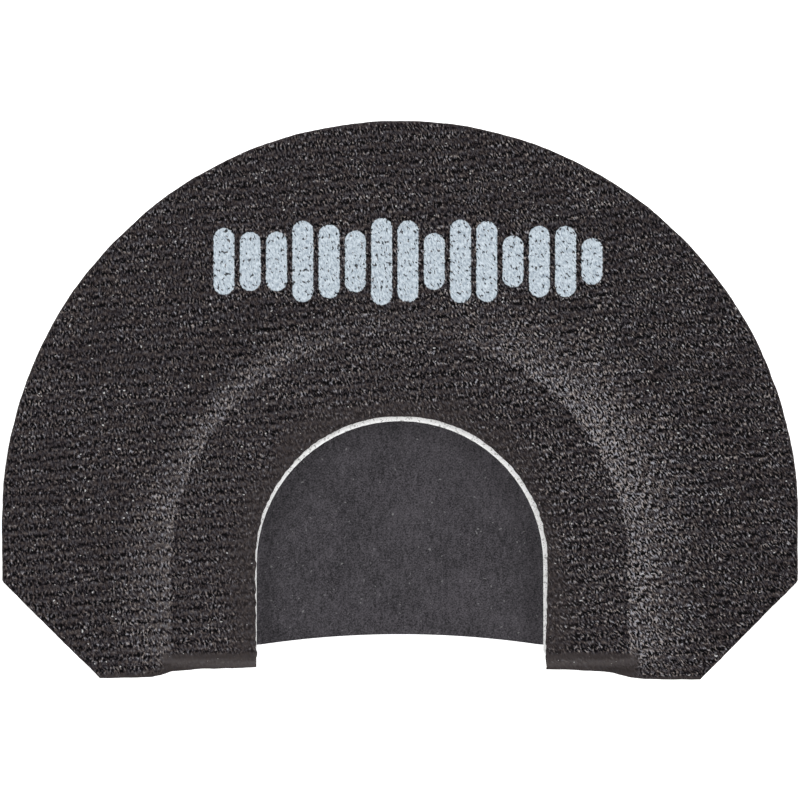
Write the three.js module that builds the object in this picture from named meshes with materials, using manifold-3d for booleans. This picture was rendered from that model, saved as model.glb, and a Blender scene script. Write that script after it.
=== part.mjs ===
// A diaphragm mouth call: latex reeds clamped in a folded horseshoe frame, inside a skirt of cloth tape.
// Millimetres. +X runs across the mouth, +Y to the rounded back of the skirt, and +Z up out of the printed
// face. The origin is under the middle of the skirt's box, level with the lowest face of the lower tape.
import * as THREE from "three";
import { mergeVertices } from "three/addons/utils/BufferGeometryUtils.js";
import Module from "manifold-3d";

const wasm = await Module();
wasm.setup();

// Cloth skirt.
const SKIRT_RADIUS = 25; // its rounded back, and half its width
const SKIRT_SIDE = 3.93; // straight side between the round back and the cut corner
const SKIRT_FRONT_FLAT = 3.1; // front edge between the slope's foot and the cut corner
const SKIRT_FRONT_MARGIN = 1.44; // from the frame's leg ends to the skirt's front edge
const TAPE_THICKNESS = 0.3;
const TAPE_WINDOW_SETBACK = 0.2; // rim of bare frame round the window
const TAPE_OVERHANG = 0.78; // tape past the leg ends, where it folds down over them
const TAPE_TURN_START = 2.2; // from the frame's outer edge in to where the front edge starts to swing out
const TAPE_TURN_END = 0.35; // from the slope's foot in to where the front edge has swung out
const SLOPE_WIDTH = 1.65; // from the frame's outer edge to where the two tapes meet

// Folded frame.
const WINDOW_RADIUS = 9;
const RAIL_WIDTH = 5.1;
const LEG_LENGTH = 5.78; // straight leg in front of the window's centre
const LEAF_THICKNESS = 0.5;
const FOLD_WIDTH = 8;
const LEG_OUTER_CORNER = 1;
const LEG_INNER_CORNER = 0.4;

// Reeds and the spacer between them.
const REED_THICKNESS = 0.1;
const SPACER_THICKNESS = 0.3;
const REED_CLEARANCE = 0.15; // from the moving span to the window's wall
const REED_SETBACK = 0.73; // from the leg ends back to the corners of the reed's free edge
const FREE_EDGE_RISE = 0.66; // how far the free edge bows back at its middle
const BORDER_INSET = 0.9; // from the frame's outer edge in to the reed's outer edge
const BORDER_CLEARANCE = 0.05; // from the window's wall out to the clamped border

const FILM = 0.02; // adhesive, or the clamped joint, between two flat layers

// Plan.
const FRAME_RADIUS = WINDOW_RADIUS + RAIL_WIDTH;
const SLOPE_FOOT = FRAME_RADIUS + SLOPE_WIDTH;
const FRONT_CORNER_X = SLOPE_FOOT + SKIRT_FRONT_FLAT;
const CORNER_CUT = SKIRT_RADIUS - FRONT_CORNER_X;
const SKIRT_DEPTH = SKIRT_RADIUS + SKIRT_SIDE + CORNER_CUT;
const SKIRT_FRONT_Y = -SKIRT_DEPTH / 2;
const SKIRT_CENTRE_Y = SKIRT_DEPTH / 2 - SKIRT_RADIUS;
const LEG_END_Y = SKIRT_FRONT_Y + SKIRT_FRONT_MARGIN;
const WINDOW_CENTRE_Y = LEG_END_Y + LEG_LENGTH;
const TAPE_END_Y = LEG_END_Y - TAPE_OVERHANG;
const TAPE_WINDOW_RADIUS = WINDOW_RADIUS + TAPE_WINDOW_SETBACK;
const REED_FRONT_Y = LEG_END_Y + REED_SETBACK;

// Stack, from the bottom.
const LOWER_LEAF_Z = TAPE_THICKNESS + FILM;
const LOWER_REED_Z = LOWER_LEAF_Z + LEAF_THICKNESS + FILM;
const SPACER_Z = LOWER_REED_Z + REED_THICKNESS + FILM;
const UPPER_REED_Z = SPACER_Z + SPACER_THICKNESS + FILM;
const UPPER_LEAF_Z = UPPER_REED_Z + REED_THICKNESS + FILM;
const FRAME_TOP_Z = UPPER_LEAF_Z + LEAF_THICKNESS;
const MIDDLE_Z = (LOWER_LEAF_Z + FRAME_TOP_Z) / 2;
const FRAME_HEIGHT = FRAME_TOP_Z - LOWER_LEAF_Z;
const FOLD_Y = WINDOW_CENTRE_Y + FRAME_RADIUS - FRAME_HEIGHT / 2;

const CHORD_ERROR = 0.01; // how far a facet may lie off a round outline
const DRAPE_ANGLES = 48;
const SLOPE_STEPS = 6;
const TURN_STEPS = 10;
const LEG_STEPS = 4;
const RIGHT_ANGLE = Math.PI / 2;

const lerp = THREE.MathUtils.lerp;

const materials = {
  tape: { color: "#38353a", roughness: 0.85, metalness: 0 },
  aluminium: { color: "#d9dadb", roughness: 0.35, metalness: 1 },
  latex: { color: "#454246", roughness: 0.5, metalness: 0 },
  spacer: { color: "#5b5a5c", roughness: 0.6, metalness: 0 },
};

const call = new THREE.Group();

function addPiece(name, geometry, material) {
  const mesh = new THREE.Mesh(geometry, new THREE.MeshStandardMaterial(materials[material]));
  mesh.name = name;
  call.add(mesh);
}

// ---- solids -------------------------------------------------------------------------------------

function toSolid(geometry) {
  const bare = geometry.clone();
  bare.deleteAttribute("normal");
  bare.deleteAttribute("uv");
  const merged = mergeVertices(bare, 1e-4);
  return new wasm.Manifold(
    new wasm.Mesh({
      numProp: 3,
      vertProperties: merged.attributes.position.array,
      triVerts: new Uint32Array(merged.index.array),
    }),
  );
}

function toGeometry(solid) {
  const mesh = solid.getMesh();
  const geometry = new THREE.BufferGeometry();
  geometry.setAttribute("position", new THREE.BufferAttribute(mesh.vertProperties, 3));
  geometry.setIndex(new THREE.BufferAttribute(mesh.triVerts, 1));
  geometry.computeVertexNormals();
  return geometry;
}

// Points along a circle from one angle to another, close enough together for CHORD_ERROR.
function arc(x, y, radius, from, to) {
  const step = 2 * Math.acos(1 - CHORD_ERROR / radius);
  const count = Math.ceil(Math.abs(to - from) / step);
  const points = [];
  for (let i = 0; i <= count; i++) {
    const angle = lerp(from, to, i / count);
    points.push(new THREE.Vector2(x + radius * Math.cos(angle), y + radius * Math.sin(angle)));
  }
  return points;
}

const point = (x, y) => new THREE.Vector2(x, y);

// The same points on the other side of the call's middle, in the order that carries an outline on.
const mirrored = (points) => points.map((p) => point(-p.x, p.y)).reverse();

function prism(outline, z, thickness) {
  const flat = { depth: thickness, bevelEnabled: false };
  return new THREE.ExtrudeGeometry(new THREE.Shape(outline), flat).translate(0, 0, z);
}

// ---- frame --------------------------------------------------------------------------------------

// Outline of a horseshoe round the window, with its legs to the front. back holds the points of the
// right half's back that differ from a plain circle, and backAngle is where the circle stops for them.
function horseshoe({ inner, outer, frontY, innerCorner, outerCorner, backAngle = RIGHT_ANGLE, back = [] }) {
  const y = WINDOW_CENTRE_Y;
  const right = [
    ...(innerCorner
      ? arc(inner + innerCorner, frontY + innerCorner, innerCorner, Math.PI, 3 * RIGHT_ANGLE)
      : [point(inner, frontY)]),
    ...(outerCorner
      ? arc(outer - outerCorner, frontY + outerCorner, outerCorner, -RIGHT_ANGLE, 0)
      : [point(outer, frontY)]),
    ...arc(0, y, outer, 0, backAngle),
    ...back,
  ];
  return [...right, ...mirrored(right), ...arc(0, y, inner, Math.PI, 0)];
}

// Both leaves and the bend between them in one strip, as wide as the frame, seen from the side.
function foldedStrip() {
  const outside = FRAME_HEIGHT / 2;
  const inside = outside - LEAF_THICKNESS;
  const front = LEG_END_Y - FOLD_Y - FRAME_HEIGHT;
  const section = [
    ...arc(0, 0, outside, -RIGHT_ANGLE, RIGHT_ANGLE),
    point(front, outside),
    point(front, inside),
    ...arc(0, 0, inside, RIGHT_ANGLE, -RIGHT_ANGLE),
    point(front, -inside),
    point(front, -outside),
  ];
  // The section's own x and y lie along the call's Y and Z, and the strip runs along X.
  const turned = new THREE.Matrix4().makeBasis(
    new THREE.Vector3(0, 1, 0),
    new THREE.Vector3(0, 0, 1),
    new THREE.Vector3(1, 0, 0),
  );
  const reach = FRAME_RADIUS + FRAME_HEIGHT;
  return prism(section, -reach, 2 * reach).applyMatrix4(turned).translate(0, FOLD_Y, MIDDLE_Z);
}

// The strip cut to the frame's outline, which leaves a narrow tab to carry the bend.
function frame() {
  const half = FOLD_WIDTH / 2;
  const outline = horseshoe({
    inner: WINDOW_RADIUS,
    outer: FRAME_RADIUS,
    frontY: LEG_END_Y,
    innerCorner: LEG_INNER_CORNER,
    outerCorner: LEG_OUTER_CORNER,
    backAngle: Math.asin((FOLD_Y - WINDOW_CENTRE_Y) / FRAME_RADIUS),
    back: [point(half, FOLD_Y), point(half, FOLD_Y + FRAME_HEIGHT)],
  });
  const cutter = prism(outline, LOWER_LEAF_Z - FRAME_HEIGHT, 3 * FRAME_HEIGHT);
  return toGeometry(toSolid(foldedStrip()).intersect(toSolid(cutter)));
}

// ---- reeds --------------------------------------------------------------------------------------

// The span that sounds: it fills the window and ends in a free edge that bows back.
function reedSpan(z) {
  const half = WINDOW_RADIUS - REED_CLEARANCE;
  const edgeRadius = (half ** 2 + FREE_EDGE_RISE ** 2) / (2 * FREE_EDGE_RISE);
  const halfAngle = Math.asin(half / edgeRadius);
  const edgeCentreY = REED_FRONT_Y + FREE_EDGE_RISE - edgeRadius;
  const outline = [
    ...arc(0, WINDOW_CENTRE_Y, half, 0, Math.PI),
    ...arc(0, edgeCentreY, edgeRadius, RIGHT_ANGLE + halfAngle, RIGHT_ANGLE - halfAngle),
  ];
  return prism(outline, z, REED_THICKNESS);
}

// The part of a reed, or of the spacer, that the leaves clamp.
function clampedBorder(z, thickness) {
  const outline = horseshoe({
    inner: WINDOW_RADIUS + BORDER_CLEARANCE,
    outer: FRAME_RADIUS - BORDER_INSET,
    frontY: REED_FRONT_Y,
  });
  return prism(outline, z, thickness);
}

// ---- cloth tape ---------------------------------------------------------------------------------

// Outline that both tapes are cut to: round back, straight sides, cut corners, and a front edge that
// swings in over the leg ends.
function tapeOutline() {
  const turnStart = FRAME_RADIUS - TAPE_TURN_START;
  const turnEnd = SLOPE_FOOT - TAPE_TURN_END;
  const turnMiddle = (turnStart + turnEnd) / 2;
  const turn = new THREE.CubicBezierCurve(
    point(turnStart, TAPE_END_Y),
    point(turnMiddle, TAPE_END_Y),
    point(turnMiddle, SKIRT_FRONT_Y),
    point(turnEnd, SKIRT_FRONT_Y),
  );
  const right = [
    point(TAPE_WINDOW_RADIUS, TAPE_END_Y),
    ...turn.getPoints(TURN_STEPS),
    point(FRONT_CORNER_X, SKIRT_FRONT_Y),
    point(SKIRT_RADIUS, SKIRT_FRONT_Y + CORNER_CUT),
    ...arc(0, SKIRT_CENTRE_Y, SKIRT_RADIUS, 0, RIGHT_ANGLE),
  ];
  return [...right, ...mirrored(right), ...arc(0, WINDOW_CENTRE_Y, TAPE_WINDOW_RADIUS, Math.PI, 0)];
}

// How far a point is outside the frame. Past the leg ends it counts faster, because the tape comes down
// within its short overhang there.
function outsideFrame(x, y) {
  if (y >= WINDOW_CENTRE_Y) {
    return Math.hypot(x, y - WINDOW_CENTRE_Y) - FRAME_RADIUS;
  }
  const beside = Math.abs(x) - FRAME_RADIUS;
  const ahead = (LEG_END_Y - y) * (SLOPE_WIDTH / TAPE_OVERHANG);
  return ahead > 0 ? Math.hypot(Math.max(beside, 0), ahead) : beside;
}

// Height of the cloth's inner face above the middle plane.
function drape(x, y) {
  const onFrame = FRAME_HEIGHT / 2 + FILM;
  const fall = THREE.MathUtils.smoothstep(outsideFrame(x, y), 0, SLOPE_WIDTH);
  return lerp(onFrame, FILM / 2, fall);
}

// Lines of points across the U, from the right leg's front, round the back, to the left leg's front.
function drapeLines() {
  const reach = 2 * SKIRT_RADIUS;
  const across = [TAPE_WINDOW_RADIUS - SLOPE_WIDTH, FRAME_RADIUS];
  for (let i = 1; i <= SLOPE_STEPS; i++) {
    across.push(FRAME_RADIUS + (SLOPE_WIDTH * i) / SLOPE_STEPS);
  }
  across.push(reach);

  const down = [];
  for (let i = 0; i < LEG_STEPS; i++) {
    down.push(lerp(WINDOW_CENTRE_Y, LEG_END_Y, i / LEG_STEPS));
  }
  for (let i = 0; i <= SLOPE_STEPS; i++) {
    down.push(LEG_END_Y - (TAPE_OVERHANG * i) / SLOPE_STEPS);
  }
  down.push(-reach);

  const lines = [];
  for (const y of [...down].reverse()) {
    lines.push(across.map((x) => new THREE.Vector2(x, y)));
  }
  for (let i = 1; i < DRAPE_ANGLES; i++) {
    const angle = (Math.PI * i) / DRAPE_ANGLES;
    const toPoint = (r) => new THREE.Vector2(r * Math.cos(angle), r * Math.sin(angle) + WINDOW_CENTRE_Y);
    lines.push(across.map(toPoint));
  }
  for (const y of down) {
    lines.push(across.map((x) => new THREE.Vector2(-x, y)));
  }
  return lines;
}

// A solid between two faces over the same lines of points.
function sheetBetween(lines, lowerZ, upperZ) {
  const rows = lines.length;
  const columns = lines[0].length;
  const positions = [];
  for (const height of [lowerZ, upperZ]) {
    for (const line of lines) {
      for (const p of line) {
        positions.push(p.x, p.y, height(p.x, p.y));
      }
    }
  }
  const lower = (i, j) => i * columns + j;
  const upper = (i, j) => rows * columns + lower(i, j);
  const index = [];
  const quad = (a, b, c, d) => index.push(a, b, c, a, c, d);
  for (let i = 0; i + 1 < rows; i++) {
    for (let j = 0; j + 1 < columns; j++) {
      quad(upper(i, j), upper(i, j + 1), upper(i + 1, j + 1), upper(i + 1, j));
      quad(lower(i, j), lower(i + 1, j), lower(i + 1, j + 1), lower(i, j + 1));
    }
    quad(lower(i, 0), upper(i, 0), upper(i + 1, 0), lower(i + 1, 0));
    quad(
      lower(i, columns - 1),
      lower(i + 1, columns - 1),
      upper(i + 1, columns - 1),
      upper(i, columns - 1),
    );
  }
  for (let j = 0; j + 1 < columns; j++) {
    quad(lower(0, j), lower(0, j + 1), upper(0, j + 1), upper(0, j));
    quad(lower(rows - 1, j), upper(rows - 1, j), upper(rows - 1, j + 1), lower(rows - 1, j + 1));
  }
  const geometry = new THREE.BufferGeometry();
  geometry.setAttribute("position", new THREE.Float32BufferAttribute(positions, 3));
  geometry.setIndex(index);
  return geometry;
}

// One layer of tape: side is 1 over the frame and -1 under it.
function tape(side) {
  const inner = (x, y) => MIDDLE_Z + side * drape(x, y);
  const outer = (x, y) => inner(x, y) + side * TAPE_THICKNESS;
  const faces = side > 0 ? [inner, outer] : [outer, inner];
  const sheet = toSolid(sheetBetween(drapeLines(), ...faces));
  const cutter = toSolid(prism(tapeOutline(), -FRAME_HEIGHT, 4 * FRAME_HEIGHT));
  return toGeometry(sheet.intersect(cutter));
}

// ---- the call -----------------------------------------------------------------------------------

addPiece("frame", frame(), "aluminium");
addPiece("lower_reed", reedSpan(LOWER_REED_Z), "latex");
addPiece("lower_reed_border", clampedBorder(LOWER_REED_Z, REED_THICKNESS), "latex");
addPiece("reed_spacer", clampedBorder(SPACER_Z, SPACER_THICKNESS), "spacer");
addPiece("upper_reed", reedSpan(UPPER_REED_Z), "latex");
addPiece("upper_reed_border", clampedBorder(UPPER_REED_Z, REED_THICKNESS), "latex");
addPiece("tape_bottom", tape(-1), "tape");
addPiece("tape_top", tape(1), "tape");

export default call;
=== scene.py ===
import math

import bpy
import numpy as np
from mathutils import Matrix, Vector


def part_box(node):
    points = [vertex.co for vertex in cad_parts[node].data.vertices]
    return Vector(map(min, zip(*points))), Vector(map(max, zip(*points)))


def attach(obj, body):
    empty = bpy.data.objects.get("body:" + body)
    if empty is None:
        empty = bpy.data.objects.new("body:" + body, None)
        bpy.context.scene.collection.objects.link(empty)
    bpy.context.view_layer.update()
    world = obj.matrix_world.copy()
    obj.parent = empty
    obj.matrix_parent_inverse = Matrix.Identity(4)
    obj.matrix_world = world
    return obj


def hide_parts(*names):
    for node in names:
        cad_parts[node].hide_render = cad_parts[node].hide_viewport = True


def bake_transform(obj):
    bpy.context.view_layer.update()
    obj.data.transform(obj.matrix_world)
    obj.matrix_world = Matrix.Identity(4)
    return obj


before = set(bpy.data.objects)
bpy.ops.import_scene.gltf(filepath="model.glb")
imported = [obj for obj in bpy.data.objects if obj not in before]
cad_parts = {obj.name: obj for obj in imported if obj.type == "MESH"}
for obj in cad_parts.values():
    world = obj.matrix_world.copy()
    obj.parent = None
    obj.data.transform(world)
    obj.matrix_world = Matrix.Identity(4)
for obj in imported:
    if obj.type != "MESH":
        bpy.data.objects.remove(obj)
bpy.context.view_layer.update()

# A diaphragm mouth call, seen from straight above as it lies on a pale table.
# +X runs across the mouth, +Y to the rounded back and +Z up out of the printed face. Metres.
MM = 0.001

# ---- sizes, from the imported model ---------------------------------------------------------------

skirt_low, skirt_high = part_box("tape_top")
under_low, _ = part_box("tape_bottom")
metal_low, metal_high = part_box("frame")
span_low, span_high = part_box("upper_reed")
lower_span_low, lower_span_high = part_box("lower_reed")
_, border_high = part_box("upper_reed_border")

SKIRT_RADIUS = skirt_high[0]
SKIRT_FRONT_Y = skirt_low[1]
SKIRT_CENTRE_Y = skirt_high[1] - SKIRT_RADIUS
FRAME_RADIUS = metal_high[0]
LEG_END_Y = metal_low[1]
WINDOW_CENTRE_Y = metal_high[1] - FRAME_RADIUS
MIDDLE_Z = (metal_low[2] + metal_high[2]) / 2
FRAME_HALF_HEIGHT = (metal_high[2] - metal_low[2]) / 2
TAPE_THICKNESS = metal_low[2] - under_low[2]
REED_THICKNESS = span_high[2] - span_low[2]
REED_FRONT_Y = span_low[1]
REED_CLEARANCE = 0.15 * MM
WINDOW_RADIUS = span_high[0] + REED_CLEARANCE
BORDER_RADIUS = border_high[0]

# Cloth tape, with the small faults of one that was pressed on by hand.
RIM_ANGLES = (0, 45, 90, 125, 150, 180)  # degrees from +X round the window
RIM_WIDTHS = (0.26, 0.31, 0.29, 0.29, 0.18, 0.05)  # bare rim at those angles, as pressed on (mm)
TAPE_OVERHANG = 0.78 * MM  # cloth past the leg ends
SLOPE_WIDTH = 1.65 * MM
FRONT_FALL = 0.62 * MM  # past a leg's end, where the two layers have met
CLOTH_ROUND = 0.25 * MM  # how far the cloth's outer face stands out from the frame's edge
# The front edge as it lies: X, and how far it is behind the skirt's front (mm).
FRONT_X = (-30, -18.8, -16.9, -15.6, -15.0, -14.3, -12.5, -8.9, 9.2, 12.0, 13.2, 13.9, 14.5, 15.4, 30)
FRONT_BACK = (0.06, 0.07, 0.1, 0.16, 0.27, 0.48, 0.66, 0.74, 0.62, 0.55, 0.41, 0.25, 0.1, 0, 0)
FRONT_FLAT = 3.1 * MM
FILM = 0.02 * MM
RIB_PITCH = 0.71 * MM
RIB_TILT = math.radians(4)
RIB_HEIGHT = 0.05 * MM
THREAD_PITCH = 0.265 * MM
THREAD_LEAN = (0.12, 0.52)  # of the threads off the Y axis, at the left and right ends (slope)
FREE_EDGE_RISE = 0.66 * MM
# The cloth tents off the frame more on some sides than on others.
DRAPE_ANGLES = (0, 20, 40, 60, 80, 100, 120, 140, 155, 170, 180)  # degrees from +X round the frame
DRAPE_WIDTHS = (3.6, 3.9, 4.1, 3.6, 2.3, 1.7, 1.6, 1.6, 1.8, 2.8, 2.8)  # of the slope (mm)
DRAPE_TENTED = (0.8, 0.9, 1.0, 0.9, 0.5, 0.1, 0.0, 0.0, 0.2, 0.6, 0.6)  # 1 hangs in a hollow curve
SLOPE_SHEEN_SHARES = (0.95, 1.1, 1.15, 0.8, 0.3, 0.35, 0.95, 1.1, 1.05, 0.95, 0.95)  # painted sheen: lighter where the slope catches the lamps
LIVELY_SHARES = (1.14, 1.2, 1.2, 1.12, 1.06, 1.04, 1.0, 0.96, 0.94, 0.92, 0.92)  # contrast of the weave
HUNG_CURVE = 2.2  # how hollow a tented slope hangs
FRONT_BLEND = 0.5 * MM  # past a leg's end, where the front's slope has taken over from the side's
RIM_AT_FRONT = 0.55  # share of the bare rim that is left at the legs' front ends
EDGE_WOBBLE = 0.025 * MM  # of the cut edges, in the plan
EDGE_FRAY = 0.05 * MM  # of the threads at the window's edge

TAPE_END_Y = LEG_END_Y - TAPE_OVERHANG
SLOPE_FOOT = FRAME_RADIUS + SLOPE_WIDTH
FRONT_CORNER_X = SLOPE_FOOT + FRONT_FLAT


def smooth(x, low, high):
    """0 up to low, 1 from high, and an S curve between."""
    t = np.clip((x - low) / (high - low), 0, 1)
    return t * t * (3 - 2 * t)


def lerp(a, b, t):
    return a + (b - a) * t


def ripple(x, y, size, seed):
    """Smooth noise from about -1 to 1 over the plan, with bumps about size across."""
    rng = np.random.default_rng(seed)
    cells = 64
    lattice = rng.uniform(-1, 1, (cells, cells))
    u, v = x / size + cells / 2, y / size + cells / 2
    i, j = np.floor(u).astype(int), np.floor(v).astype(int)
    s, t = smooth(u - i, 0, 1), smooth(v - j, 0, 1)

    def at(a, b):
        return lattice[a % cells, b % cells]

    return lerp(lerp(at(i, j), at(i + 1, j), s), lerp(at(i, j + 1), at(i + 1, j + 1), s), t)


# ---- meshes -------------------------------------------------------------------------------------


def new_piece(name, vertices, faces, material, attributes=None):
    """A smooth mesh object, with sharp edges past 50 degrees and any attributes on its points."""
    mesh = bpy.data.meshes.new(name)
    mesh.from_pydata(np.asarray(vertices).tolist(), [], faces)
    mesh.materials.append(material)
    mesh.polygons.foreach_set("use_smooth", np.ones(len(mesh.polygons), bool))
    mesh.set_sharp_from_angle(angle=math.radians(50))
    for key, values in (attributes or {}).items():
        mesh.attributes.new(key, "FLOAT", "POINT").data.foreach_set("value", values.astype(np.float32))
    mesh.validate()
    mesh.update()
    piece = bpy.data.objects.new(name, mesh)
    bpy.context.scene.collection.objects.link(piece)
    return piece


def grid_faces(index):
    """Quads over a 2-D array of vertex numbers."""
    quads = np.stack([index[:-1, :-1], index[:-1, 1:], index[1:, 1:], index[1:, :-1]], axis=-1)
    return quads.reshape(-1, 4).tolist()


# ---- cloth tape ---------------------------------------------------------------------------------

ARC_ROWS = 470
LEG_ROWS = 44
TAPE_COLUMNS = 124
INNER_STEP = 6  # the hidden face keeps every sixth column
CUT_EDGE_STEPS = (0, 0.0022, 0.0055, 0.0105)  # shares of a row, close together to round a cut edge
FRONT_STEPS = (0, 0.004, 0.01, 0.019)  # shares of a leg's length, close together at its front end


def front_edge(x):
    """Y of the tape's front edge."""
    return SKIRT_FRONT_Y + np.interp(x / MM, FRONT_X, FRONT_BACK) * MM


def side_outline(y):
    """Half width of the skirt on its straight side and cut corner."""
    return np.minimum(SKIRT_RADIUS, FRONT_CORNER_X + (y - SKIRT_FRONT_Y))


def back_outline(angle):
    """Distance from the window's centre out to the skirt's edge, at an angle from +X."""
    c, s = np.cos(angle), np.sin(angle)
    rise = SKIRT_CENTRE_Y - WINDOW_CENTRE_Y
    to_circle = s * rise + np.sqrt((s * rise) ** 2 + SKIRT_RADIUS**2 - rise**2)
    to_side = SKIRT_RADIUS / np.maximum(np.abs(c), 1e-9)
    return np.where(to_side * s < rise, to_side, to_circle)


def spaced(columns):
    """Shares from 0 to 1, with three close steps at either end to round a cut edge."""
    close = np.array(CUT_EDGE_STEPS)
    between = np.linspace(close[-1], 1 - close[-1], columns - 2 * len(close) + 2)[1:-1]
    return np.concatenate([close, between, 1 - close[::-1]])


def tape_leg(rim, hand):
    """The rows of one leg, from its front end to the window's centre, as X from the middle outward and Y.
    hand is 1 for the right leg and -1 for the left."""
    across = spaced(TAPE_COLUMNS)
    along = np.concatenate([FRONT_STEPS, np.linspace(FRONT_STEPS[-1], 1, LEG_ROWS)[1:]])
    rows_x, rows_y = [], []
    for v in along[:-1]:
        inner_y = lerp(TAPE_END_Y, WINDOW_CENTRE_Y, v)
        outer_y = lerp(SKIRT_FRONT_Y, WINDOW_CENTRE_Y, v)
        x = lerp(WINDOW_RADIUS + rim * lerp(RIM_AT_FRONT, 1, v), side_outline(outer_y), across)
        straight = lerp(TAPE_END_Y, SKIRT_FRONT_Y, across)
        level = lerp(inner_y, outer_y, across)
        rows_x.append(x)
        rows_y.append(level + (front_edge(hand * x) - straight) * (1 - v))
    return np.array(rows_x), np.array(rows_y)


def tape_plan():
    """X and Y of the tape's grid: rows run round the horseshoe, columns from window to outer edge."""
    across = spaced(TAPE_COLUMNS)
    angles = np.linspace(0, math.pi, ARC_ROWS)
    rim = np.interp(np.degrees(angles), RIM_ANGLES, RIM_WIDTHS) * MM
    right_x, right_y = tape_leg(rim[0], 1)
    left_x, left_y = tape_leg(rim[-1], -1)
    radius = lerp(WINDOW_RADIUS + rim[:, None], back_outline(angles)[:, None], across[None, :])
    arc_x = radius * np.cos(angles)[:, None]
    arc_y = radius * np.sin(angles)[:, None] + WINDOW_CENTRE_Y
    x = np.concatenate([right_x, arc_x, -left_x[::-1]])
    y = np.concatenate([right_y, arc_y, left_y[::-1]])
    near_x = EDGE_WOBBLE * (ripple(x, y, 1.3 * MM, 3) + 0.6 * ripple(x, y, 0.3 * MM, 5))
    near_y = EDGE_WOBBLE * (ripple(x, y, 1.3 * MM, 4) + 0.6 * ripple(x, y, 0.3 * MM, 6))
    frayed = EDGE_FRAY * (1 - smooth(across, 0, 0.02)) * ripple(x, y, 0.25 * MM, 8)
    return x + near_x + frayed, y + near_y


def outside_frame(x, y):
    """How far a point is outside the frame, and counted faster past the leg ends."""
    beside = np.abs(x) - FRAME_RADIUS
    ahead = (LEG_END_Y - y) * (SLOPE_WIDTH / FRONT_FALL)
    past_leg = np.where(ahead > 0, np.hypot(np.maximum(beside, 0), ahead), beside)
    return np.where(y >= WINDOW_CENTRE_Y, np.hypot(x, y - WINDOW_CENTRE_Y) - FRAME_RADIUS, past_leg)


def around(x, y, table):
    """A table over DRAPE_ANGLES, read at each point."""
    angle = np.degrees(np.arctan2(np.maximum(y - WINDOW_CENTRE_Y, 0), x))
    return np.interp(angle, DRAPE_ANGLES, table)


def fallen(x, y, outside):
    """How far the cloth has come down from the frame's face to the skirt, from 0 to 1."""
    over_front = smooth(LEG_END_Y - y, 0, FRONT_BLEND)
    tented = around(x, y, DRAPE_TENTED) * (1 - over_front)
    width = lerp(around(x, y, DRAPE_WIDTHS) * MM, SLOPE_WIDTH, over_front)
    width = width * (1 + 0.06 * ripple(x, y, 5 * MM, 7))
    share = np.clip(outside / width, 0, 1)
    hung = (1 - (1 - share) ** HUNG_CURVE) * smooth(share, -0.04, 0.08)
    return lerp(smooth(share, -0.05, 1), hung, tented)


def drape(x, y, round_off=0.0):
    """Height of the cloth's inner face, or of its outer face less a thickness, from the middle plane."""
    fall = fallen(x, y, outside_frame(x, y) - round_off)
    return lerp(FRAME_HALF_HEIGHT + FILM, FILM / 2, fall)


def painted_slope_sheen(x, y):
    """Lightness painted into the cloth: a painted sheen where its slope round the frame catches the lamps,
    most at the top of the slope and unevenly round the frame, and a little more over the frame's face.
    """
    start = outside_frame(x, y) - CLOTH_ROUND
    width = around(x, y, DRAPE_WIDTHS) * MM
    fading = (1 - np.clip(start / (1.4 * width), 0, 1)) ** 1.1
    band = smooth(start, -0.1 * MM, 0.1 * MM) * fading
    over_frame = 0.12 * (1 - smooth(start, -0.6 * MM, -0.2 * MM))
    return around(x, y, SLOPE_SHEEN_SHARES) * band + over_frame


def sway(x, y):
    """Gentle waves of the free skirt, which both layers share."""
    out = smooth(outside_frame(x, y), 3 * MM, 12 * MM)
    return out * (0.16 * MM * ripple(x, y, 9 * MM, 11) + 0.05 * MM * ripple(x, y, 4 * MM, 12))


def rib_phase(x, y):
    """Counts the cloth's ribs, which wander a little."""
    wander = 0.10 * ripple(x, y, 3 * MM, 21) + 0.05 * ripple(x, y, 0.9 * MM, 22)
    return (y * math.cos(RIB_TILT) - x * math.sin(RIB_TILT)) / RIB_PITCH + wander


def thread_phase(x, y):
    """Counts the fine threads that cross the ribs."""
    wander = 0.35 * ripple(x, y, 2 * MM, 23) + 0.2 * ripple(x, y, 0.7 * MM, 24)
    lean = lerp(*THREAD_LEAN, 0.5 + 0.5 * x / SKIRT_RADIUS)
    return (x + y * lean) / THREAD_PITCH + wander


def crushed(x, y, edge):
    """1 where the cutting die or the fold over a leg end has pressed the weave flat."""
    inside_foot = 1 - smooth(np.abs(x), SLOPE_FOOT - 1.2 * MM, SLOPE_FOOT - 0.4 * MM)
    past_leg = LEG_END_Y - y + 0.05 * MM * ripple(x, y, 0.6 * MM, 32)
    over_leg = smooth(past_leg, -0.3 * MM, -0.12 * MM) * inside_foot
    front = 1 - smooth(y - front_edge(x), 0.08 * MM, 0.2 * MM)
    rim = 1 - smooth(edge, 0.03 * MM, 0.12 * MM)
    from_window = np.hypot(x, np.maximum(y - WINDOW_CENTRE_Y, 0)) + 0.6 * MM * ripple(x, y, 1.7 * MM, 33)
    pressed = 0.45 * (1 - smooth(from_window, WINDOW_RADIUS + 0.6 * MM, WINDOW_RADIUS + 2.4 * MM))
    return np.maximum(np.maximum(over_leg, front), np.maximum(rim, pressed))


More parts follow.
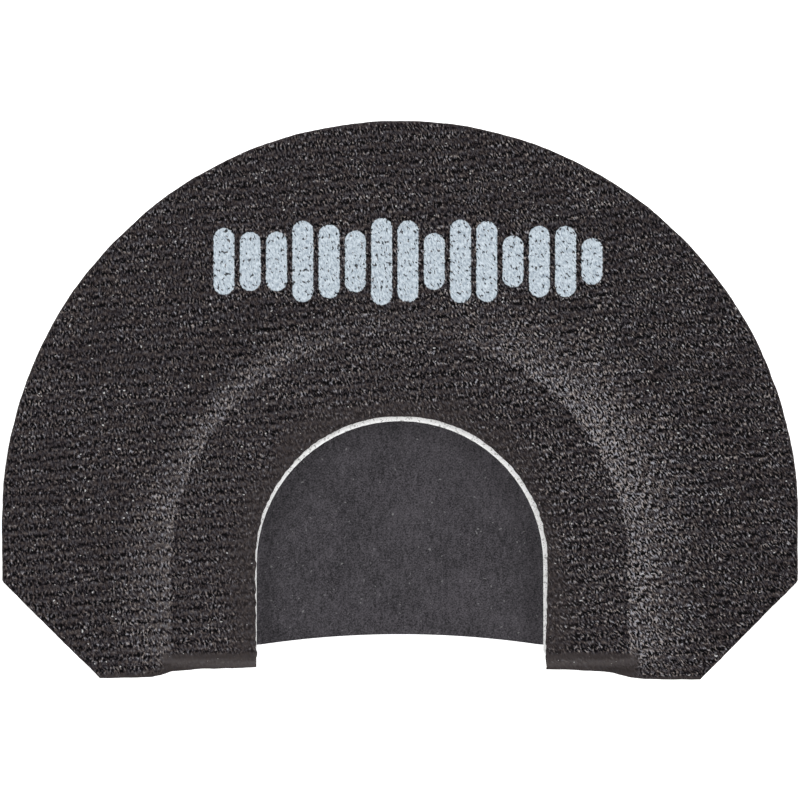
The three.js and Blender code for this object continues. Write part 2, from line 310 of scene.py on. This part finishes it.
def tape(name, side, material):
    """One layer of cloth: side is 1 over the frame and -1 under it."""
    x, y = tape_plan()
    rows, columns = x.shape
    lead = np.hypot(np.diff(x, axis=1), np.diff(y, axis=1))
    walked = np.concatenate([np.zeros((rows, 1)), np.cumsum(lead, axis=1)], axis=1)
    to_side = np.minimum(walked, walked[:, -1:] - walked)
    to_front = np.maximum(y - front_edge(x), 0)
    edge = np.minimum(to_side, np.where(y < WINDOW_CENTRE_Y, to_front, 1))
    crush = crushed(x, y, edge)
    rib = rib_phase(x, y)
    relief = RIB_HEIGHT * (0.5 - 0.5 * np.cos(2 * math.pi * rib)) * (1 - 0.85 * crush)
    fray = 0.02 * MM * ripple(x, y, 0.35 * MM, 31) * (1 - crush)
    round_off = 0.07 * MM * (1 - smooth(edge, 0, 0.09 * MM))
    middle = MIDDLE_Z + sway(x, y)
    inner_z = middle + side * drape(x, y)
    surface = TAPE_THICKNESS - RIB_HEIGHT + relief + fray - round_off
    outer_z = middle + side * (drape(x, y, CLOTH_ROUND) + surface)

    outer = np.stack([x, y, outer_z], axis=-1)
    kept = np.unique(np.append(np.arange(0, columns, INNER_STEP), columns - 1))
    inner = np.stack([x[:, kept], y[:, kept], inner_z[:, kept]], axis=-1)
    outer_id = np.arange(rows * columns).reshape(rows, columns)
    inner_id = rows * columns + np.arange(rows * len(kept)).reshape(rows, len(kept))

    faces = grid_faces(outer_id)
    faces += [f[::-1] for f in grid_faces(inner_id)]
    for column in (0, -1):
        wall = np.stack([outer_id[:, column], inner_id[:, column]], axis=1)
        faces += grid_faces(wall if column == 0 else wall[:, ::-1])
        faces[-(rows - 1):] = [f[::-1] for f in faces[-(rows - 1):]]
    for row in (0, -1):
        for k in range(len(kept) - 1):
            upper = outer_id[row, kept[k]:kept[k + 1] + 1].tolist()
            lower = [inner_id[row, k + 1], inner_id[row, k]]
            face = [int(i) for i in upper + lower]
            faces.append(face[::-1] if row == 0 else face)
    if side < 0:
        faces = [f[::-1] for f in faces]
    vertices = np.concatenate([outer.reshape(-1, 3), inner.reshape(-1, 3)])

    def spread(field):
        return np.concatenate([field.ravel(), field[:, kept].ravel()])

    attributes = {
        "rib": spread(rib),
        "thread": spread(thread_phase(x, y)),
        "crush": spread(crush),
        # painted sheen on the slopes round the frame, carried into the material
        "slope_sheen": spread(painted_slope_sheen(x, y)),
        "lively": spread(around(x, y, LIVELY_SHARES)),
    }
    return new_piece(name, vertices, faces, material, attributes)


# ---- reeds --------------------------------------------------------------------------------------

REED_RINGS = 44
REED_ANGLES = 72
REED_FRONT_ROWS = 26


def free_edge(x):
    """Y of a reed's front edge: bowed back in the window, straight where it is clamped."""
    half = WINDOW_RADIUS - REED_CLEARANCE
    return REED_FRONT_Y + FREE_EDGE_RISE * (1 - np.minimum(np.abs(x) / half, 1) ** 2)


def reed_plan():
    """X and Y over one reed: a half disc behind the window's centre and a straight front."""
    ring = np.linspace(0, BORDER_RADIUS, REED_RINGS + 1)
    angles = np.linspace(0, math.pi, REED_ANGLES + 1)
    disc = [(0.0, WINDOW_CENTRE_Y)]
    for r in ring[1:]:
        disc += [(r * math.cos(a), r * math.sin(a) + WINDOW_CENTRE_Y) for a in angles]
    across = np.concatenate([-ring[:0:-1], ring])
    front = []
    for share in np.linspace(0, 1, REED_FRONT_ROWS + 1)[1:]:
        front += [(x, lerp(WINDOW_CENTRE_Y, free_edge(x), share)) for x in across]
    return np.array(disc + front), len(across)


def reed_faces(width):
    """Faces of one side of a reed, and the loop of points round its edge. width is a front row's points."""
    turn = REED_ANGLES + 1

    def at(ring, angle):
        return 0 if ring == 0 else 1 + (ring - 1) * turn + angle

    faces = []
    for a in range(REED_ANGLES):
        faces.append([0, at(1, a), at(1, a + 1)])
        for r in range(1, REED_RINGS):
            faces.append([at(r, a), at(r + 1, a), at(r + 1, a + 1), at(r, a + 1)])
    left_half = [at(r, REED_ANGLES) for r in range(REED_RINGS, 0, -1)]
    line = left_half + [at(r, 0) for r in range(REED_RINGS + 1)]
    start = 1 + REED_RINGS * turn
    for row in range(REED_FRONT_ROWS):
        below = list(range(start + row * width, start + (row + 1) * width))
        faces += [[below[i], below[i + 1], line[i + 1], line[i]] for i in range(width - 1)]
        line = below
    rim = [at(REED_RINGS, a) for a in range(turn)]
    left = [start + row * width for row in range(REED_FRONT_ROWS)]
    right = [start + row * width + width - 1 for row in range(REED_FRONT_ROWS)]
    return faces, rim + left + line[1:-1] + right[::-1]


def reed(name, span_z, material):
    """A whole latex sheet, its span and clamped border in one, at height span_z, with faint puckers that
    fade out towards the window's edge."""
    plan, width = reed_plan()
    x, y = plan[:, 0], plan[:, 1]
    beyond = np.hypot(x, np.maximum(y - WINDOW_CENTRE_Y, 0)) / WINDOW_RADIUS
    slack = np.clip(1 - beyond**2, 0, 1)
    near_edge = 1 - smooth(y - free_edge(x), 0, 2.2 * MM)
    puckers = 0.012 * MM * ripple(x, y, 2.4 * MM, 41)
    puckers = puckers + 0.010 * MM * near_edge * ripple(x, 0 * y, 1.1 * MM, 42)
    z = span_z + puckers * slack
    half = REED_THICKNESS / 2
    upper = np.stack([x, y, z + half], axis=1)
    lower = np.stack([x, y, z - half], axis=1)
    count = len(plan)
    faces, loop = reed_faces(width)
    walls = [[loop[i - 1], loop[i], loop[i] + count, loop[i - 1] + count] for i in range(len(loop))]
    faces = faces + [[i + count for i in f[::-1]] for f in faces] + [f[::-1] for f in walls]
    piece = new_piece(name, np.concatenate([upper, lower]), faces, material)
    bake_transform(piece)
    return piece


# ---- materials ----------------------------------------------------------------------------------


class Surface:
    """A material around one Principled shader, with short calls for the nodes that feed it."""

    def __init__(self, name, **constants):
        self.material = bpy.data.materials.new(name)
        self.material.use_nodes = True
        self.tree = self.material.node_tree
        self.shader = self.tree.nodes["Principled BSDF"]
        for key, value in constants.items():
            self.shader.inputs[key.replace("_", " ")].default_value = value

    def add(self, kind, inputs=(), **settings):
        """A new node. inputs maps each socket to a constant or to the output that feeds it."""
        node = self.tree.nodes.new("ShaderNode" + kind)
        for key, value in settings.items():
            setattr(node, key, value)
        for socket, value in dict(inputs).items():
            self.put(value, node.inputs[socket])
        return node

    def put(self, value, socket):
        if isinstance(value, bpy.types.NodeSocket):
            self.tree.links.new(value, socket)
        elif value is not None:
            socket.default_value = value

    def math(self, operation, *values, clamp=False):
        node = self.add("Math", operation=operation, use_clamp=clamp)
        for value, socket in zip(values, node.inputs):
            self.put(value, socket)
        return node.outputs[0]

    def map_range(self, value, low, high, to_low=0.0, to_high=1.0):
        inputs = {0: value, 1: low, 2: high, 3: to_low, 4: to_high}
        return self.add("MapRange", inputs, interpolation_type="SMOOTHSTEP").outputs[0]

    def mix(self, factor, a, b, blend="MIX"):
        inputs = {0: factor, 6: a, 7: b}
        return self.add("Mix", inputs, data_type="RGBA", blend_type=blend).outputs[2]

    def ramp(self, value, stops):
        """A colour ramp through (position, red, green, blue) stops."""
        node = self.add("ValToRGB", {0: value})
        elements = node.color_ramp.elements
        elements.remove(elements[1])
        for i, (position, *rgb) in enumerate(stops):
            element = elements[0] if i == 0 else elements.new(position)
            element.position = position
            element.color = (*rgb, 1.0)
        return node.outputs[0]

    def field(self, name):
        return self.add("Attribute", attribute_name=name).outputs["Fac"]

    def combine(self, x, y, z=0.0):
        return self.add("CombineXYZ", {0: x, 1: y, 2: z}).outputs[0]

    def place(self):
        """Millimetres in the object's own frame: the vector, X and Y."""
        own = self.add("TexCoord").outputs["Object"]
        scaled = self.add("VectorMath", {0: own, 3: 1 / MM}, operation="SCALE").outputs[0]
        parts = self.add("SeparateXYZ", {0: scaled}).outputs
        return scaled, parts[0], parts[1]

    def noise(self, vector, scale, detail=2.0, roughness=0.5):
        inputs = {"Vector": vector, "Scale": scale, "Detail": detail, "Roughness": roughness}
        return self.add("TexNoise", inputs).outputs["Fac"]

    def bump(self, height, distance, strength=1.0, under=None):
        inputs = {"Height": height, "Distance": distance, "Strength": strength, "Normal": under}
        return self.add("Bump", inputs).outputs[0]

    def finish(self, **links):
        for key, value in links.items():
            self.put(value, self.shader.inputs[key.replace("_", " ")])
        return self.material


def grey(value):
    return (value, value, value, 1.0)


FIBRES_ACROSS = 2.35  # noise bumps to one thread's width
FIBRES_ALONG = 2.9  # noise bumps to one rib's width
FIBRE_CONTRAST = 2.5
FIBRE_RELIEF = 0.009 * MM
# The lower stops are the fibres' own near-black tone; the brightest stops are partly painted glints, light
# caught on the fibres put into the colour.
CLOTH_TONES = (  # brightness from 0 to 1, then red, green and blue
    (0.00, 0.0001, 0.0001, 0.0002),
    (0.17, 0.0003, 0.0002, 0.0006),
    (0.39, 0.0094, 0.0074, 0.0088),
    (0.50, 0.0225, 0.0187, 0.0197),
    (0.61, 0.0405, 0.0350, 0.0358),
    (0.83, 0.0960, 0.0890, 0.0890),
    (1.00, 0.2300, 0.2200, 0.2250),
)
CLOTH_WARM = (1.07, 0.99, 0.92, 1.0)
CLOTH_COOL = (0.94, 0.98, 1.07, 1.0)
CLOTH_PRESSED = (0.0325, 0.0270, 0.0263, 1.0)
INK_DARK = (0.215, 0.26, 0.305, 1.0)
INK_LIGHT = (0.54, 0.60, 0.65, 1.0)

# The print, in millimetres.
PRINT_X = 0.5
PRINT_Y = 8.7
PRINT_HALF_WIDTH = 12.4
PRINT_HALF_HEIGHT = 2.8
BAR_PITCH = 1.65
BAR_HALF_WIDTH = 0.65
BAR_BEAT = 2.15  # radians from one bar's height to the next
BAR_BEAT_START = 0.9
INK_RAGGED = 0.16  # unevenness of a bar's outline
INK_SOFT = 0.03  # half the width of its soft edge


def fibre_noise(s, place, rib, thread):
    """Fibres that follow the weave: the wandering place across the threads, and the fibres' tone, whose
    brightest crumbs become painted glints.
    """
    lean = s.math("MULTIPLY", s.noise(place, 1.8, detail=1.0), 1.2)
    across = s.math("MULTIPLY", s.math("ADD", thread, lean), FIBRES_ACROSS)
    along = s.math("MULTIPLY", rib, FIBRES_ALONG)
    fibre = s.noise(s.combine(across, along), 1.0, detail=2.0, roughness=0.6)
    crumb = s.math("SUBTRACT", s.noise(place, 8.0, detail=1.0), 0.5)
    return across, s.math("MULTIPLY_ADD", crumb, 0.2, fibre)


def rib_valley(s, place, rib):
    """1 in the valleys between the ribs and 0 on top of them, with a jagged line between."""
    jag = s.math("MULTIPLY", s.math("SUBTRACT", s.noise(place, 3.2, detail=1.0), 0.5), 0.5)
    turn = s.math("MULTIPLY", s.math("ADD", rib, jag), 2 * math.pi)
    return s.math("MULTIPLY_ADD", s.math("COSINE", turn), 0.5, 0.5)


def weave_tone(s, place, fibre, valley, raised):
    """Brightness of the weave from 0 to 1. It varies most in the valleys and on the slopes round the frame,
    with painted shade in the valleys between the ribs and painted sheen on those slopes.
    """
    slope_sheen, lively = s.field("slope_sheen"), s.field("lively")
    patch = s.map_range(s.noise(place, 0.5, detail=1.0), 0.3, 0.7, 0.8, 1.2)
    # The painted sheen also sets how lively the weave looks on the slopes.
    sheen_patch = s.math("MULTIPLY", slope_sheen, s.math("MULTIPLY_ADD", lively, 1.9, -1.65))
    patch = s.math("MULTIPLY", s.math("ADD", sheen_patch, patch), lively)
    busy = s.math("MULTIPLY_ADD", valley, 0.9, 0.6)
    busy = s.math("MULTIPLY", busy, s.math("MULTIPLY", patch, raised))
    swing = s.math("MULTIPLY", s.math("SUBTRACT", fibre, 0.5), FIBRE_CONTRAST)
    swing = s.math("MULTIPLY", swing, busy)
    level = s.math("MULTIPLY_ADD", lively, -0.16, 0.680)
    # Painted shade: darker in the valleys between the ribs.
    level = s.math("MULTIPLY_ADD", s.math("MULTIPLY", valley, raised), -0.15, level)
    # Painted sheen: the slopes round the frame made lighter where they catch the lamps.
    level = s.math("MULTIPLY_ADD", slope_sheen, 0.2, level)
    return s.math("ADD", level, swing, clamp=True)


def weave_colour(s, place, tone, crush):
    """Near-black with warm and cool patches, brown where it is pressed flat, and a little pale lint."""
    colour = s.ramp(tone, CLOTH_TONES)
    hue = s.map_range(s.noise(place, 4.5, detail=1.0), 0.35, 0.65)
    colour = s.mix(1.0, colour, s.mix(hue, CLOTH_WARM, CLOTH_COOL), "MULTIPLY")
    colour = s.mix(s.math("MULTIPLY", crush, 0.75), colour, CLOTH_PRESSED)
    lint = s.map_range(s.noise(place, 6.0, detail=0.0), 0.815, 0.86)
    return s.mix(s.math("MULTIPLY", lint, 0.8), colour, grey(0.5))


def ink_cover(s, mask, across, rib, valley):
    """The print's mask, less the pits of the weave that the ink didn't reach."""
    weave = s.combine(s.math("MULTIPLY", across, 0.62), s.math("MULTIPLY", rib, 2.6))
    pit = s.math("MULTIPLY_ADD", valley, 0.07, s.noise(weave, 1.0, detail=1.0))
    pit = s.map_range(pit, 0.64, 0.70)
    return s.math("MULTIPLY", mask, s.math("SUBTRACT", 1.0, s.math("MULTIPLY", pit, 0.9)))


def cloth(name, printed):
    """Black ribbed cloth tape: crumbs of fibre among dark pits, busiest in the valleys between the ribs,
    with painted shade in those valleys, painted glints on the brightest fibres and painted sheen on the
    slopes round the frame.
    """
    s = Surface(name, Specular_IOR_Level=0.07)
    place, x, y = s.place()
    rib, crush = s.field("rib"), s.field("crush")
    across, fibre = fibre_noise(s, place, rib, s.field("thread"))
    valley = rib_valley(s, place, rib)
    raised = s.math("SUBTRACT", 1.0, s.math("MULTIPLY", crush, 0.7))
    tone = weave_tone(s, place, fibre, valley, raised)
    colour = weave_colour(s, place, tone, crush)
    rough = s.map_range(tone, 0.25, 0.8, 0.9, 0.6)
    if printed:
        ink = ink_cover(s, print_mask(s, x, y, place), across, rib, valley)
        paint = s.mix(s.map_range(fibre, 0.25, 0.75), INK_DARK, INK_LIGHT)
        colour = s.mix(ink, colour, paint)
        rough = s.math("MULTIPLY_ADD", ink, -0.2, rough)
    normal = s.bump(s.math("MULTIPLY", fibre, raised), FIBRE_RELIEF, strength=0.8)
    return s.finish(Base_Color=colour, Normal=normal, Roughness=rough)


def print_mask(s, x, y, place):
    """A printed row of round-ended bars, like a sound's level over time."""
    uneven = s.noise(place, 6.0, detail=2.0)
    uneven = s.math("MULTIPLY", s.math("SUBTRACT", uneven, 0.5), INK_RAGGED)
    step = s.math("DIVIDE", s.math("SUBTRACT", x, PRINT_X), BAR_PITCH)
    bar = s.math("ROUND", step)
    across = s.math("ABSOLUTE", s.math("MULTIPLY", s.math("SUBTRACT", step, bar), BAR_PITCH))
    fade = 0.5 * math.pi * BAR_PITCH / (2 * PRINT_HALF_WIDTH)  # radians to a bar
    envelope = s.math("COSINE", s.math("MULTIPLY", bar, fade))
    beat = s.math("ABSOLUTE", s.math("SINE", s.math("MULTIPLY_ADD", bar, BAR_BEAT, BAR_BEAT_START)))
    level = s.math("MULTIPLY", envelope, s.math("MULTIPLY_ADD", beat, 0.4, 0.6))
    reach = s.math("SUBTRACT", s.math("MULTIPLY", level, PRINT_HALF_HEIGHT), BAR_HALF_WIDTH)
    above = s.math("ABSOLUTE", s.math("SUBTRACT", y, PRINT_Y))
    past = s.math("MAXIMUM", s.math("SUBTRACT", above, reach), 0.0)
    distance = s.math("SQRT", s.math("ADD", s.math("POWER", across, 2.0), s.math("POWER", past, 2.0)))
    outline = s.math("ADD", distance, uneven)
    inside = s.map_range(outline, BAR_HALF_WIDTH + INK_SOFT, BAR_HALF_WIDTH - INK_SOFT)
    within = s.math("LESS_THAN", s.math("ABSOLUTE", bar), PRINT_HALF_WIDTH / BAR_PITCH)
    return s.math("MULTIPLY", inside, within)


LATEX_DARK = (0.0036, 0.0031, 0.0046, 1.0)
LATEX_LIGHT = (0.0585, 0.053, 0.061, 1.0)
SCUFF_LIGHT = (0.10, 0.094, 0.105, 1.0)
SCUFF_DARK = (0.018, 0.016, 0.020, 1.0)
SCUFF_SLANT = 0.6  # of the scuffs off the Y axis (slope)


def latex(name):
    """Dull dark latex with faint streaks from rolling, slanting scuffs, and dust."""
    s = Surface(name, Specular_IOR_Level=0.28)
    place, x, y = s.place()
    streak = s.noise(s.combine(s.math("MULTIPLY", x, 4.0), s.math("MULTIPLY", y, 1.2)), 1.0, detail=2.0)
    cloud = s.noise(place, 0.45, detail=2.0)
    grain = s.noise(place, 10.0, detail=1.0, roughness=0.7)
    speck = s.noise(place, 5.5, detail=0.0)
    tone = s.math("MULTIPLY_ADD", cloud, 0.4, s.math("MULTIPLY", grain, 1.4))
    tone = s.math("MULTIPLY_ADD", streak, 0.55, tone)
    colour = s.mix(s.map_range(tone, 0.75, 1.65), LATEX_DARK, LATEX_LIGHT)
    beside = s.math("SUBTRACT", x, s.math("MULTIPLY", y, SCUFF_SLANT))
    along = s.math("MULTIPLY_ADD", x, SCUFF_SLANT, y)
    scuff = s.noise(s.combine(s.math("MULTIPLY", beside, 5.5), along), 1.0)
    colour = s.mix(s.map_range(scuff, 0.62, 0.74, 0.0, 0.35), colour, SCUFF_LIGHT)
    colour = s.mix(s.map_range(scuff, 0.38, 0.28, 0.0, 0.45), colour, SCUFF_DARK)
    colour = s.mix(s.map_range(speck, 0.78, 0.88, 0.0, 0.5), colour, grey(0.2))
    colour = s.mix(s.map_range(speck, 0.24, 0.16, 0.0, 0.7), colour, grey(0.008))
    normal = s.bump(tone, 0.01 * MM, strength=0.5)
    rough = s.map_range(streak, 0.3, 0.7, 0.58, 0.7)
    return s.finish(Base_Color=colour, Normal=normal, Roughness=rough)


METAL_SMEAR = (0.88, 0.88, 0.865, 1.0)
SPACER_DARK = (0.09, 0.09, 0.092, 1.0)
SPACER_LIGHT = (0.13, 0.128, 0.13, 1.0)


def aluminium(name):
    """Satin sheet aluminium with fine scratches, smears and dark nicks. It is mostly diffuse: its white
    colour is the metal's own pale tone and partly a painted reflection of the bright surroundings.
    """
    s = Surface(name, Metallic=0.12, Roughness=0.6)
    place, x, y = s.place()
    scratch = s.noise(s.combine(s.math("MULTIPLY", x, 2.0), s.math("MULTIPLY", y, 22.0)), 1.0, detail=3.0)
    smear = s.map_range(s.noise(place, 3.0, detail=3.0), 0.35, 0.75)
    # Painted reflection, in part: pure white stands in for the bright surroundings that the metal reflects.
    colour = s.mix(smear, grey(1.0), METAL_SMEAR)
    nick = s.map_range(s.noise(place, 6.0, detail=3.0, roughness=0.75), 0.55, 0.64)
    colour = s.mix(s.math("MULTIPLY", nick, 0.8), colour, grey(0.28))
    rough = s.map_range(scratch, 0.3, 0.7, 0.52, 0.68)
    normal = s.bump(scratch, 0.006 * MM, strength=0.5)
    return s.finish(Base_Color=colour, Normal=normal, Roughness=rough)


def film(name):
    """Thin matte plastic of the spacer, with a faint rolled grain."""
    s = Surface(name, Roughness=0.55)
    place, _, _ = s.place()
    grain = s.noise(place, 7.0, detail=3.0)
    colour = s.mix(grain, SPACER_DARK, SPACER_LIGHT)
    return s.finish(Base_Color=colour, Normal=s.bump(grain, 0.01 * MM, strength=0.5))


# ---- the object ---------------------------------------------------------------------------------


def carry_node(node, material):
    """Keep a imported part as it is, with a material of its own."""
    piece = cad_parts[node]
    piece.data.materials.clear()
    piece.data.materials.append(material)


def build_tapes():
    """Both layers of cloth. Only the upper one is printed."""
    for name, side, printed in (("tape_top", 1, True), ("tape_bottom", -1, False)):
        piece = tape(name + "_cloth", side, cloth(name + "_weave", printed))
        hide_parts(name)
        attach(piece, "call_body")


def build_reeds():
    """Both reeds, each a whole sheet that stands for its span and its clamped border."""
    material = latex("reed_latex")
    for name, low, high in (
        ("upper_reed", span_low, span_high),
        ("lower_reed", lower_span_low, lower_span_high),
    ):
        piece = reed(name + "_sheet", (low[2] + high[2]) / 2, material)
        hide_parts(name, name + "_border")


build_tapes()
build_reeds()
carry_node("frame", aluminium("frame_metal"))
carry_node("reed_spacer", film("spacer_film"))

# ---- table, light and camera --------------------------------------------------------------------


FLOOR_RADIUS = 1.3
FLOOR_RINGS = (0.2, 0.7)  # radii inside the cove
FLOOR_SIDES = 96
FLOOR_GAP = 0.01 * MM  # under the call
FLOOR_GLOW = 0.7
COVE_RADIUS = 0.35
COVE_TURN = 85  # degrees
COVE_STEPS = 10


def pale_floor():
    """A pale disc that sweeps up into a low wall a long way out."""
    steps = np.radians(np.linspace(0, COVE_TURN, COVE_STEPS))
    radius = np.concatenate([FLOOR_RINGS, FLOOR_RADIUS + COVE_RADIUS * np.sin(steps)])
    rise = np.concatenate([np.zeros(len(FLOOR_RINGS)), COVE_RADIUS * (1 - np.cos(steps))]) - FLOOR_GAP
    angles = np.linspace(0, 2 * math.pi, FLOOR_SIDES + 1)[:-1]
    vertices = [[0, 0, rise[0]]]
    for r, z in zip(radius, rise):
        vertices += [[r * math.cos(a), r * math.sin(a), z] for a in angles]
    following = [(i + 1) % FLOOR_SIDES for i in range(FLOOR_SIDES)]
    faces = [[0, 1 + i, 1 + following[i]] for i in range(FLOOR_SIDES)]
    for k in range(len(radius) - 1):
        a = 1 + FLOOR_SIDES * k
        b = a + FLOOR_SIDES
        faces += [[a + i, b + i, b + following[i], a + following[i]] for i in range(FLOOR_SIDES)]
    s = Surface("floor_paint", Base_Color=grey(0.92), Roughness=0.8)
    s.shader.inputs["Emission Color"].default_value = grey(1.0)
    s.shader.inputs["Emission Strength"].default_value = FLOOR_GLOW
    new_piece("floor", vertices, faces, s.material)


def softbox(name, azimuth, elevation, distance, size, power):
    """An area light that looks at the call. Azimuth 0 is at the front, 90 at the right."""
    light = bpy.data.lights.new(name, "AREA")
    light.shape = "DISK"
    light.size = size
    light.energy = power
    lamp = bpy.data.objects.new(name, light)
    a, e = math.radians(azimuth), math.radians(elevation)
    toward = Vector((math.sin(a) * math.cos(e), -math.cos(a) * math.cos(e), math.sin(e)))
    lamp.location = toward * distance
    lamp.rotation_euler = (-toward).to_track_quat("-Z", "Y").to_euler()
    lamp.visible_camera = False
    bpy.context.scene.collection.objects.link(lamp)


LIGHT_ELEVATION = 25  # degrees
LIGHT_DISTANCE = 0.6
LIGHT_SIZE = 0.26
WORLD_STRENGTH = 0.2
RING_OF_LIGHTS = (  # name, azimuth in degrees, power in watts
    ("left", -90, 1.4),
    ("left_back", -135, 1.5),
    ("back", 180, 0.45),
    ("right_back", 135, 2.1),
    ("right", 90, 1.6),
    ("right_front", 45, 1.3),
    ("front", 0, 0.35),
    ("left_front", -45, 1.4),
)


def light_scene():
    """Soft boxes all round the call, low enough to show its weave, in a dim white world."""
    world = bpy.data.worlds.new("studio")
    world.use_nodes = True
    world.node_tree.nodes["Background"].inputs[0].default_value = grey(1.0)
    world.node_tree.nodes["Background"].inputs[1].default_value = WORLD_STRENGTH
    bpy.context.scene.world = world
    for name, azimuth, power in RING_OF_LIGHTS:
        softbox("light_" + name, azimuth, LIGHT_ELEVATION, LIGHT_DISTANCE, LIGHT_SIZE, power)
    view = bpy.context.scene.view_settings
    view.view_transform = "Standard"
    view.look = "None"


CAMERA_DISTANCE = 0.6
SENSOR_WIDTH = 36
SKIRT_SHARE = 0.995  # of the picture's width that the skirt fills


def camera_above():
    """A long lens straight above the middle of the call."""
    field_width = 2 * SKIRT_RADIUS / SKIRT_SHARE
    camera = bpy.data.cameras.new("camera")
    camera.sensor_width = SENSOR_WIDTH
    camera.lens = camera.sensor_width * CAMERA_DISTANCE / field_width
    camera.clip_start = 0.01
    camera.clip_end = 10
    holder = bpy.data.objects.new("camera", camera)
    middle = (skirt_low[1] + skirt_high[1]) / 2
    holder.location = (0, middle, MIDDLE_Z + CAMERA_DISTANCE)
    bpy.context.scene.collection.objects.link(holder)
    bpy.context.scene.camera = holder


pale_floor()
light_scene()
camera_above()
